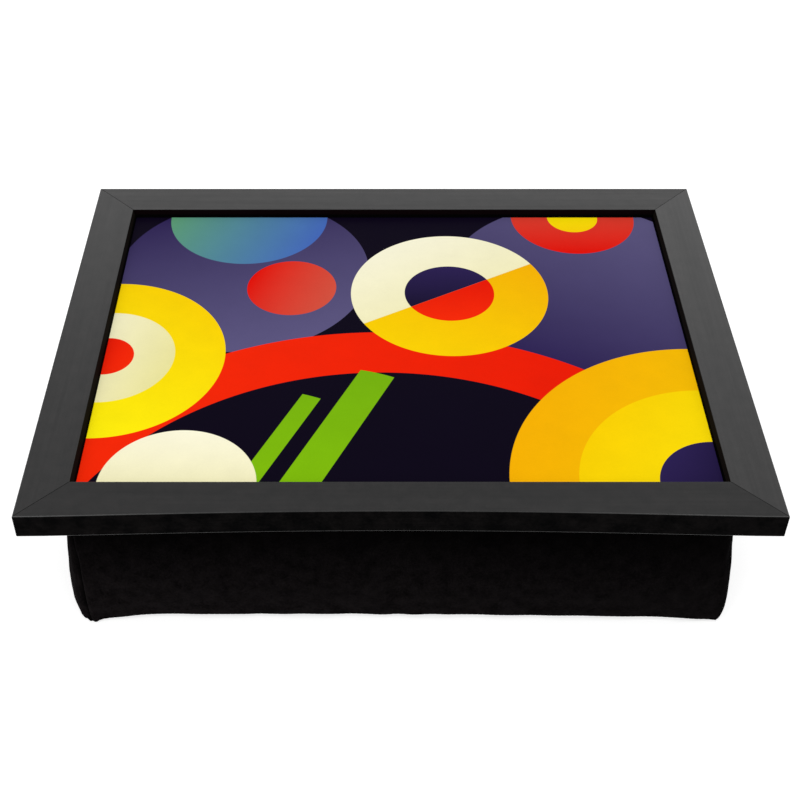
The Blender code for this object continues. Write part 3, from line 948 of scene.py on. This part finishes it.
@dataclass(frozen=True)
class HollowedRail:
    """The front rail, made again from its solid: its outer face is hollowed towards the middle.

    The hollow is full at the outer edge and fades over its reach inwards, so that the sight edge
    stays straight. A higher ease narrows it towards the middle.
    """

    depth: float = 0.0043
    half_length: float = 0.2100
    ease: float = 1.3
    steps: int = 40
    outer_edge: float = 0.0012
    reach: float = 0.0155

    def cut_across(self) -> None:
        """Merges the loose triangles of the active copy, and cuts it across in even steps."""
        bpy.ops.mesh.customdata_custom_splitnormals_clear()
        bpy.ops.object.mode_set(mode="EDIT")
        bpy.ops.mesh.select_all(action="SELECT")
        bpy.ops.mesh.remove_doubles(threshold=SAME_PLACE)
        for step in range(1, self.steps):
            bpy.ops.mesh.select_all(action="SELECT")
            across = self.half_length * (2 * step / self.steps - 1)
            bpy.ops.mesh.bisect(plane_co=(across, 0.0, 0.0), plane_no=(1.0, 0.0, 0.0))
        bpy.ops.object.mode_set(mode="OBJECT")

    def build(self, solid: Object, surface: Material) -> None:
        """Makes the rail, which stands in for its solid.

        Args:
            solid: The straight rail.
            surface: Its finish.
        """
        mesh = solid.data.copy()
        mesh.transform(solid.matrix_world)
        rail = linked("hollowed_front_rail", mesh)
        take_up(rail)
        self.cut_across()
        points = points_of(mesh)
        inwards = points[:, 1] + FRAME_HALF_Y
        fade = np.clip((self.reach - inwards) / (self.reach - self.outer_edge), 0.0, 1.0)
        share = np.clip(1.0 - (points[:, 0] / self.half_length) ** 2, 0.0, 1.0) ** self.ease
        points[:, 1] += self.depth * share * fade
        place_points(mesh, points)
        bpy.ops.object.shade_flat()
        dress(rail, surface)
        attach(rail, "root")
        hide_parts("front_rail")
        LOG.info("hollowed %s by %.1f mm", rail.name, self.depth * 1000)


@dataclass(frozen=True)
class TrayFrame:
    """The rails, print, boards and fasteners, which get their finishes on their own solids."""

    # Painted light: the four rails are one lacquer, but their gloss is set apart so that each rail's sheen
    # is as bright as its light made it, brightest on the right rail and dullest on the front one
    front: SatinMoulding = SatinMoulding(
        "satin_black_front", Run.ALONG_X, 0.75, 1.46, sight_brown=BLACK_STAIN)
    back: SatinMoulding = SatinMoulding(
        "satin_black_back", Run.ALONG_X, 0.88, 1.46, sight_brown=BLACK_STAIN, grain_share=0.14)
    left: SatinMoulding = SatinMoulding("satin_black_left", Run.ALONG_Y, 0.88, 1.46)
    right: SatinMoulding = SatinMoulding("satin_black_right", Run.ALONG_Y, 0.965, 1.50)

    def build(self, nodes: dict[str, Object]) -> None:
        """Gives each solid its finish, and hollows the front rail.

        Args:
            nodes: The solids by name.
        """
        board, steel = Hardboard().build(), ZincSteel().build()
        surfaces = {
            "front_rail": self.front.build(),
            "back_rail": self.back.build(),
            "left_rail": self.left.build(),
            "right_rail": self.right.build(),
            "print_sheet": PrintLaminate().build(),
            "base_board": board,
            "backing_board": board,
            "v_nail": steel,
            "framers_point": steel,
            "staple": steel,
        }
        for name, solid in nodes.items():
            for start, surface in surfaces.items():
                if name.startswith(start):
                    dress(solid, surface)
        HollowedRail().build(nodes["front_rail"], surfaces["front_rail"])


def bow(down: float, rise: float) -> float:
    """The curve of a belly at a share down the wall; a higher rise starts it lower down."""
    return math.sin(math.pi * BELLY_WAVE * down**rise)


@dataclass(frozen=True)
class Wall:
    """A wall of the cushion: its distance from the middle, its belly, and the curves' powers.

    A higher squareness ends the belly nearer the wall's corners.
    """

    distance: float
    belly: float
    rise: float
    squareness: int
    fill_power: int = 5
    tuck: float = 0.0003
    tuck_power: int = 12

    def swell(self, down: float, fullness: float) -> float:
        """How far the middle of the wall stands out beyond its top, at a share down it."""
        cut = fullness + (1.0 - fullness) * down**self.fill_power
        return self.belly * cut * bow(down, self.rise) - self.tuck * down**self.tuck_power


@dataclass(frozen=True)
class CornerSeam:
    """An upright seam of the cover, at one corner.

    It pinches the cloth, swells to the side by its bulge, turns back by its tip at the bottom
    and ends in an ear that reaches to the front or the back. A higher turn keeps the tip's turn
    lower down, and a higher nearness makes the ear narrower.
    """

    x_sign: int
    y_sign: int
    pinch: float
    bulge: float
    tip: float
    turn: int
    reach: float
    nearness: int
    bulge_rise: float = 1.2
    reach_rise: float = 1.3

    def sideways(self, down: float) -> float:
        """How far the seam stands out to the side at a share down it."""
        return self.bulge * bow(down, self.bulge_rise) - self.tip * down**self.turn

    def forward(self, down: float) -> float:
        """How far the seam stands out to the front or back at a share down it."""
        return self.reach * down**self.reach_rise

    def owns(self, points: np.ndarray) -> np.ndarray:
        """Which points lie on the seam's side of both middles."""
        return (points[:, 0] * self.x_sign > 0) & (points[:, 1] * self.y_sign > 0)


class Cutting:
    """The cover's mesh while it is cut, on a grid of shares across and deep, from -1 to 1."""

    def __init__(self, across: list[float], deep: list[float]) -> None:
        """Starts an empty mesh.

        Args:
            across: Shares of the half width.
            deep: Shares of the half depth.
        """
        self.across, self.deep = across, deep
        self.last_x, self.last_y = len(across) - 1, len(deep) - 1
        self.ring = (
            [(i, 0) for i in range(self.last_x)] + [(self.last_x, j) for j in range(self.last_y)]
            + [(i, self.last_y) for i in range(self.last_x, 0, -1)]
            + [(0, j) for j in range(self.last_y, 0, -1)]
        )
        self.mesh = bmesh.new()
        self.marks: list[tuple[float, ...]] = []

    def add(self, spot: Spot) -> bmesh.types.BMVert:
        """Adds a point with its marks."""
        self.marks.append(spot[1:])
        return self.mesh.verts.new(spot[0])

    def go_round(self, spot: Callable[[float, float], Spot]) -> Ring:
        """Adds a ring of points, each from its shares across and deep."""
        return [self.add(spot(self.across[i], self.deep[j])) for i, j in self.ring]

    def band(self, upper: Ring, lower: Ring) -> None:
        """Joins two rings of points with faces."""
        for k, n in zip(range(len(upper)), [*range(1, len(upper)), 0]):
            self.mesh.faces.new((upper[k], lower[k], lower[n], upper[n]))

    def cap(self, border: Ring, spot: Callable[[float, float], Spot], flip: bool) -> None:
        """Closes a ring with a grid of points and faces.

        Args:
            border: The ring.
            spot: The grid's points, each from its shares across and deep.
            flip: Whether the faces look down.
        """
        grid = dict(zip(self.ring, border))
        for i in range(1, self.last_x):
            for j in range(1, self.last_y):
                grid[i, j] = self.add(spot(self.across[i], self.deep[j]))
        for i in range(self.last_x):
            for j in range(self.last_y):
                corners = [grid[i, j], grid[i + 1, j], grid[i + 1, j + 1], grid[i, j + 1]]
                self.mesh.faces.new(corners[::-1] if flip else corners)

    def finish(self, name: str) -> Object:
        """Makes the piece.

        Args:
            name: Its name.

        Returns:
            The piece, with its points' marks as attributes.
        """
        mesh = bpy.data.meshes.new(name)
        self.mesh.to_mesh(mesh)
        self.mesh.free()
        for mark, values in zip(Mark, zip(*self.marks)):
            mesh.attributes.new(mark.value, "FLOAT", "POINT").data.foreach_set("value", values)
        return linked(name, mesh)


@dataclass(frozen=True)
class CoverPattern:
    """How the cushion's closed cover is cut: a top, a hem round the board, walls and a bottom.

    Shares across and deep go from -1 to 1 over the cushion's width and depth, and a share down
    from 0 at the rail to 1 at the bottom seam. Fullness is the share of the walls' belly that is
    cut, and the rest is left to the filling.
    """

    long_wall: Wall = Wall(0.1422, 0.0098, 0.8, 8)
    short_wall: Wall = Wall(0.1922, 0.0100, 1.15, 14)
    front_lean: float = 0.0030
    cloth: float = 0.0012
    gap: float = 0.0003
    board_top: float = 0.0920
    hem_width: float = 0.0150
    hem_top: float = 0.0935
    hem_bend: float = 0.0015
    bend_middle: float = 0.29
    hem_crease_room: float = 0.001
    seam_height: float = 0.0027
    ear_height: float = 0.0010
    bottom_roll: float = 0.0120
    spacing: float = 0.0056
    seam_offsets: tuple[float, ...] = (0.0013, 0.0030, 0.0056)
    far_from_corner: float = 0.05
    far_from_hem: float = 0.09
    free_rim: float = 0.006
    held_ease: float = 0.010
    corner_seams: tuple[CornerSeam, ...] = (
        CornerSeam(-1, -1, 0.0026, -0.0020, 0.0029, 4, 0.0127, 10),
        CornerSeam(1, -1, 0.0005, 0.0048, 0.0030, 14, 0.0120, 26),
        CornerSeam(1, 1, 0.0008, 0.0020, 0.0040, 12, 0.0108, 8),
        CornerSeam(-1, 1, 0.0006, 0.0040, 0.0045, 12, 0.0110, 8),
    )

    def corner_at(self, x: float, y: float) -> CornerSeam:
        """The corner seam on this side of the middle."""
        return next(s for s in self.corner_seams if (s.x_sign > 0) == (x > 0) and (s.y_sign > 0) == (y > 0))

    def halves(self, x: float, y: float, down: float, fullness: float) -> tuple[float, float]:
        """Half the width and half the depth of the cushion, where a line across it and one deep meet.

        Args:
            x: Share across.
            y: Share deep.
            down: Share down.
            fullness: Share of the belly that is cut.

        Returns:
            The distances of the side wall and of the front or back wall from the middle.
        """
        corner, side, end = self.corner_at(x, y), self.short_wall, self.long_wall
        across, deep = side.swell(down, fullness), end.swell(down, fullness)
        if y < 0.0:
            deep += self.front_lean * max(0.0, x) * down
        across = blend(across, corner.sideways(down), abs(y) ** side.squareness)
        deep = blend(deep, corner.forward(down), abs(x) ** corner.nearness)
        return side.distance + across, end.distance + deep

    def rim_height(self, x: float, y: float) -> float:
        """Height of the bottom seam, lower at the ears."""
        return blend(self.seam_height, self.ear_height, min(abs(x), abs(y)) ** self.corner_at(x, y).nearness)

    def shares(self, half: float) -> list[float]:
        """Shares from -1 to 1 at an even spacing, with closer ones beside both seams.

        Args:
            half: Half the panel's length.

        Returns:
            The shares in order.
        """
        near = [1.0 - offset / half for offset in self.seam_offsets]
        steps = round(2 * half * near[-1] / self.spacing)
        middle = [near[-1] * (2 * step / steps - 1) for step in range(1, steps)]
        return [-1.0, *(-s for s in near), *middle, *reversed(near), 1.0]

    def down_shares(self) -> list[float]:
        """Shares from 0 at the rail to 1 at the bottom seam, closer beside the seam.

        Returns:
            The shares in order.
        """
        tall = RAIL_BOTTOM - self.seam_height
        near = [1.0 - offset / tall for offset in self.seam_offsets]
        steps = round(tall * near[-1] / self.spacing)
        return [near[-1] * step / steps for step in range(steps)] + list(reversed(near)) + [1.0]

    def hem_rows(self) -> list[tuple[float, float]]:
        """Rows of the hem, from under the board, round its edge and back out.

        Returns:
            How far each row is set in, and its height.
        """
        bend, low = self.hem_bend, self.board_top + self.gap
        return [
            (self.cloth, RAIL_BOTTOM - self.gap),
            (self.cloth, low),
            (self.hem_width / 2, low),
            (self.hem_width, low),
            (self.hem_width, self.hem_top),
            (self.hem_width / 2, self.hem_top),
            (bend, self.hem_top),
            (bend * self.bend_middle, self.hem_top - bend * self.bend_middle),
            (0.0, self.hem_top - bend),
        ]

    def hem_spot(self, x: float, y: float, inset: float, height: float) -> Spot:
        """A point of the hem or the top, set in from the walls' lines."""
        half_x, half_y = self.short_wall.distance - inset, self.long_wall.distance - inset
        return (x * half_x, y * half_y, height), self.far_from_corner, self.far_from_hem, 1.0

    def wall_spot(self, x: float, y: float, down: float, fullness: float) -> Spot:
        """A point of the walls.

        Args:
            x: Share across.
            y: Share deep.
            down: Share down.
            fullness: Share of the belly that is cut.

        Returns:
            The point.
        """
        half_x, half_y = self.halves(x, y, down, fullness)
        wall, along = (self.short_wall, x) if abs(y) == 1.0 else (self.long_wall, y)
        height = RAIL_BOTTOM - down * (RAIL_BOTTOM - self.rim_height(x, y))
        hem = (1 - down) * (RAIL_BOTTOM - self.seam_height)
        return (x * half_x, y * half_y, height), (1 - abs(along)) * wall.distance, hem, float(down == 0)

    def bottom_spot(self, x: float, y: float) -> Spot:
        """A point of the bottom panel, which rolls up to its seam and is flat on the table.

        Args:
            x: Share across.
            y: Share deep.

        Returns:
            The point.
        """
        half_x, half_y = self.halves(x, y, 1.0, 1.0)
        room = min(half_x * (1.0 - abs(x)), half_y * (1.0 - abs(y)))
        height = self.rim_height(x, y) * max(0.0, 1.0 - room / self.bottom_roll) ** 2
        held = min(1.0, max(0.0, (room - self.free_rim) / self.held_ease))
        return (x * half_x, y * half_y, height), self.far_from_corner, room, held

    def cut(self, fullness: float) -> Object:
        """Cuts the cover.

        Args:
            fullness: Share of the walls' belly that is cut.

        Returns:
            The cover, with its points' marks as attributes.
        """
        cutting = Cutting(self.shares(self.short_wall.distance), self.shares(self.long_wall.distance))
        hem = [partial(self.hem_spot, inset=inset, height=height) for inset, height in self.hem_rows()]
        walls = [partial(self.wall_spot, down=down, fullness=fullness) for down in self.down_shares()]
        rows = [cutting.go_round(spot) for spot in hem + walls]
        for upper, lower in zip(rows, rows[1:]):
            cutting.band(upper, lower)
        cutting.cap(rows[0], hem[0], flip=False)
        cutting.cap(rows[-1], self.bottom_spot, flip=True)
        cover = cutting.finish("cushion_cover")
        self.crease_hem(cover.data)
        return cover

    def crease_hem(self, mesh: Mesh) -> None:
        """Creases the edges of the hem, so that smoothing leaves it clear of the board.

        Args:
            mesh: The cover's mesh.
        """
        height, held = points_of(mesh)[:, 2], marks_of(mesh)[-1]
        creases = mesh.attributes.new("crease_edge", "FLOAT", "EDGE")
        for edge in mesh.edges:
            ends = list(edge.vertices)
            if height[ends].min() > RAIL_BOTTOM - self.hem_crease_room and held[ends].min() == 1.0:
                creases.data[edge.index].value = 1.0


@dataclass(frozen=True)
class Cloth:
    """How the cover's cloth gives while it is filled, under the names of Blender's own settings."""

    quality: int = 6
    mass: float = 0.25
    tension_stiffness: float = 18.0
    compression_stiffness: float = 18.0
    shear_stiffness: float = 6.0
    bending_stiffness: float = 0.6
    shrink_min: float = -0.02
    use_pressure: bool = True
    uniform_pressure_force: float = 4.0
    vertex_group_mass: str = Mark.HELD.value


@dataclass(frozen=True)
class BeanCushion:
    """The bean cushion: a boxed cover that is cut, filled, flattened by the table and sewn.

    A room is the distance from a seam within which an unevenness fades out.
    """

    pattern: CoverPattern = CoverPattern()
    cloth: Cloth = Cloth()
    start_fullness: float = 0.70
    frames: int = 20
    reach_cap: float = 0.0050
    seam_cap: float = 0.0010
    cap_room: float = 0.030
    lump: float = 0.0011
    lump_waves: float = 34.0
    dimple: float = 0.0003
    dimple_waves: float = 105.0
    corner_room: float = 0.008
    hem_room: float = 0.024
    groove_width: float = 0.0016
    roll_share: float = 0.40
    roll_widths: float = 2.3
    pucker: float = 0.00006
    pucker_pitch: float = 0.0110
    pucker_room: float = 0.006
    wander: float = 2.0
    corner_wander: float = 90.0
    hem_wander: float = 41.0
    hem_pinch: float = 0.0004
    smooth_angle: float = 50.0

    def fill(self, cover: Object) -> None:
        """Blows the cover up against its hem and the table, and holds how far any point moves.

        Args:
            cover: The cut cover.
        """
        mesh = cover.data
        start = points_of(mesh)
        corner, hem, held = marks_of(mesh)
        group = cover.vertex_groups.new(name=self.cloth.vertex_group_mass)
        for level in np.unique(np.round(held, 2)):
            group.add(np.nonzero(np.round(held, 2) == level)[0].tolist(), float(level), "REPLACE")
        filling = cover.modifiers.new("fill", "CLOTH")
        for name, value in vars(self.cloth).items():
            setattr(filling.settings, name, value)
        filling.settings.effector_weights.gravity = 0.0
        filling.collision_settings.use_collision = False
        scene = bpy.context.scene
        scene.frame_start, scene.frame_end = 1, self.frames
        for frame in range(1, self.frames + 1):
            scene.frame_set(frame)
        apply_modifiers(cover)
        scene.frame_set(1)
        moved = points_of(mesh) - start
        top = RAIL_BOTTOM - start[:, 2]
        near = np.clip(np.minimum(np.minimum(corner, hem), top) / self.cap_room, 0.0, 1.0)
        cap = self.seam_cap + (self.reach_cap - self.seam_cap) * near * near * (3 - 2 * near)
        length = np.maximum(np.linalg.norm(moved, axis=1), NO_MOVE)
        LOG.info("filling moved points up to %.1f mm", length.max() * 1000)
        moved *= (cap * np.tanh(length / cap) / length)[:, None]
        place_points(mesh, start + moved)

    def groove(self, run: np.ndarray, depth: float, along: np.ndarray, waves: float) -> np.ndarray:
        """The pull of a seam on the cloth beside it: a valley, a roll beside it, and puckers.

        Args:
            run: Distance of each point from the seam.
            depth: Depth of the valley.
            along: Place of each point along the seam.
            waves: How fast the puckers' pitch wanders along the seam.

        Returns:
            The push outwards of each point.
        """
        width = self.groove_width
        valley = -depth * np.exp(-((run / width) ** 2))
        rolled = self.roll_share * depth * np.exp(-(((run - self.roll_widths * width) / width) ** 2))
        wave = np.sin(along * math.tau / self.pucker_pitch + self.wander * np.sin(along * waves))
        pucker = self.pucker * wave * np.exp(-run / self.pucker_room) * np.clip(run / width, 0.0, 1.0)
        return valley + rolled + pucker

    def sew(self, cover: Object) -> None:
        """Smooths the filled cover, dents it over its beads and draws its seams in.

        Args:
            cover: The filled cover.
        """
        smooth = cover.modifiers.new("smooth", "SUBSURF")
        smooth.levels = smooth.render_levels = 1
        apply_modifiers(cover)
        mesh = cover.data
        points, outward = points_of(mesh), rows_of(mesh.vertex_normals, "vector", 3)
        corner, hem, held = marks_of(mesh)
        loose = 1.0 - np.clip(held, 0.0, 1.0)
        push = np.zeros(len(points))
        for k in np.nonzero(loose > 0.0)[0]:
            spot = Vector(points[k])
            lump, dimple = noise.noise(spot * self.lump_waves), noise.noise(spot * self.dimple_waves)
            push[k] = self.lump * lump + self.dimple * dimple
        push *= np.clip(np.minimum(corner / self.corner_room, hem / self.hem_room), 0.0, 1.0)
        for seam in self.pattern.corner_seams:
            mine = seam.owns(points)
            push[mine] += self.groove(corner, seam.pinch, points[:, 2], self.corner_wander)[mine]
        push += self.groove(hem, self.hem_pinch, points[:, 0] + points[:, 1], self.hem_wander)
        points += outward * (push * loose)[:, None]
        points[:, 2] = np.maximum(points[:, 2], 0.0)
        under_rail = RAIL_BOTTOM - self.pattern.gap
        points[(held < 1.0) & (points[:, 2] > under_rail), 2] = under_rail
        place_points(mesh, points)
        take_up(cover)
        bpy.ops.object.shade_smooth_by_angle(angle=math.radians(self.smooth_angle))

    def build(self, finish: Material) -> Object:
        """Makes the cushion and puts it on the tray.

        Args:
            finish: The cover's cloth.

        Returns:
            The cushion's cover.
        """
        cover = self.pattern.cut(self.start_fullness)
        self.fill(cover)
        self.sew(cover)
        dress(cover, finish)
        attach(cover, "root")
        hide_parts("cover_front_wall", "cover_right_wall", "cover_back_wall", "cover_left_wall",
                    "cover_bottom_panel", "bead_bag")
        LOG.info("sewed %s with %d points", cover.name, len(cover.data.vertices))
        return cover


@dataclass(frozen=True)
class SeamStitches:
    """Stitches of thread in the cushion's seams: short round threads that dive at both ends."""

    length: float = 0.0024
    pitch: float = 0.0032
    rise: float = -0.00012
    radius: float = 0.0002
    sides: int = 6
    end_radii: float = 0.7
    dive_radii: float = 0.4
    end_size: float = 0.55
    clear_of_bottom: float = 0.003
    loose_hold: float = 0.5

    def seam_lines(self, cover: Object, seams: tuple[CornerSeam, ...]) -> list[list[Vector]]:
        """The seams as lines of points on the finished cover.

        Args:
            cover: The sewn cover.
            seams: Its corner seams.

        Returns:
            The corner seams' lines, and last the bottom seam's, which closes on itself.
        """
        mesh = cover.data
        points, outward = points_of(mesh), rows_of(mesh.vertex_normals, "vector", 3)
        corner, hem, held = marks_of(mesh)
        upright = (corner < SAME_PLACE) & (held < self.loose_hold) & (hem > self.clear_of_bottom)
        lines = []
        for seam in seams:
            found = np.nonzero(seam.owns(points) & upright)[0]
            lines.append(found[np.argsort(points[found, 2])])
        found = np.nonzero(hem < SAME_PLACE)[0]
        lines.append(found[np.argsort(np.arctan2(points[found, 1], points[found, 0]))])
        raised = points + outward * self.rise
        return [[Vector(raised[k]) for k in line] for line in lines]

    @staticmethod
    def guide(name: str, line: list[Vector], closed: bool) -> Object:
        """A curve through points, for stitches to follow.

        Args:
            name: The curve's name.
            line: The points.
            closed: Whether it closes on itself.

        Returns:
            The curve's object.
        """
        curve = bpy.data.curves.new(name, "CURVE")
        curve.dimensions = "3D"
        spline = curve.splines.new("POLY")
        spline.points.add(len(line) - 1)
        for point, place in zip(spline.points, line):
            point.co = (*place, 1.0)
        spline.use_cyclic_u = closed
        return linked(name, curve)

    def one_stitch(self) -> Object:
        """One stitch along X from the origin.

        Returns:
            The stitch.
        """
        take_up()
        bpy.ops.mesh.primitive_cylinder_add(
            vertices=self.sides, radius=self.radius, depth=self.length,
            location=(self.length / 2, 0.0, 0.0), rotation=(0.0, math.pi / 2, 0.0))
        stitch = bpy.context.object
        bpy.ops.object.transform_apply(location=True, rotation=True, scale=True)
        bpy.ops.object.mode_set(mode="EDIT")
        for end, way in ((0.0, -1.0), (self.length, 1.0)):
            bpy.ops.mesh.select_all(action="DESELECT")
            bm = bmesh.from_edit_mesh(stitch.data)
            for face in bm.faces:
                face.select_set(all(abs(v.co.x - end) < SAME_PLACE for v in face.verts))
            bmesh.update_edit_mesh(stitch.data)
            out = (way * self.radius * self.end_radii, 0.0, -self.radius * self.dive_radii)
            bpy.ops.mesh.extrude_region_move(TRANSFORM_OT_translate={"value": out})
            bpy.ops.transform.resize(value=(1.0, self.end_size, self.end_size))
        bpy.ops.object.mode_set(mode="OBJECT")
        bpy.ops.object.shade_smooth()
        return stitch

    def sew_along(self, name: str, line: list[Vector], closed: bool) -> Object:
        """Repeats one stitch along a seam and bends the row to it.

        Args:
            name: The seam's name.
            line: The seam's points.
            closed: Whether it closes on itself.

        Returns:
            The seam's stitches.
        """
        guide = self.guide(name, line, closed)
        run = sum((b - a).length for a, b in zip(line, line[1:] + (line[:1] if closed else [])))
        stitch = self.one_stitch()
        repeat = stitch.modifiers.new("repeat", "ARRAY")
        repeat.use_relative_offset = False
        repeat.use_constant_offset = True
        repeat.count = int(run / self.pitch)
        repeat.constant_offset_displace = (run / repeat.count, 0.0, 0.0)
        stitch.modifiers.new("bend", "CURVE").object = guide
        apply_modifiers(stitch)
        bpy.data.objects.remove(guide, do_unlink=True)
        return stitch

    def build(self, cushion: BeanCushion, cover: Object) -> None:
        """Sews every seam of the cushion, and joins the stitches into one piece.

        Args:
            cushion: The cushion.
            cover: Its sewn cover.
        """
        lines = self.seam_lines(cover, cushion.pattern.corner_seams)
        rows = [self.sew_along(f"seam_{k}", line, line is lines[-1]) for k, line in enumerate(lines)]
        take_up(*rows)
        bpy.ops.object.join()
        stitches = rows[0]
        stitches.name = stitches.data.name = "seam_stitches"
        dress(stitches, SeamThread().build())
        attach(stitches, "root")


def main() -> None:
    """Dresses the solids and builds the cushion on them."""
    logging.basicConfig(level=logging.INFO, format="%(name)s: %(message)s")
    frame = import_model()
    PhotoCamera().build()
    Studio().build()
    Effects().build()
    TrayFrame().build(frame["nodes"])
    cushion = BeanCushion()
    SeamStitches().build(cushion, cushion.build(BlackSuede().build()))


if __name__ == "__main__":
    main()
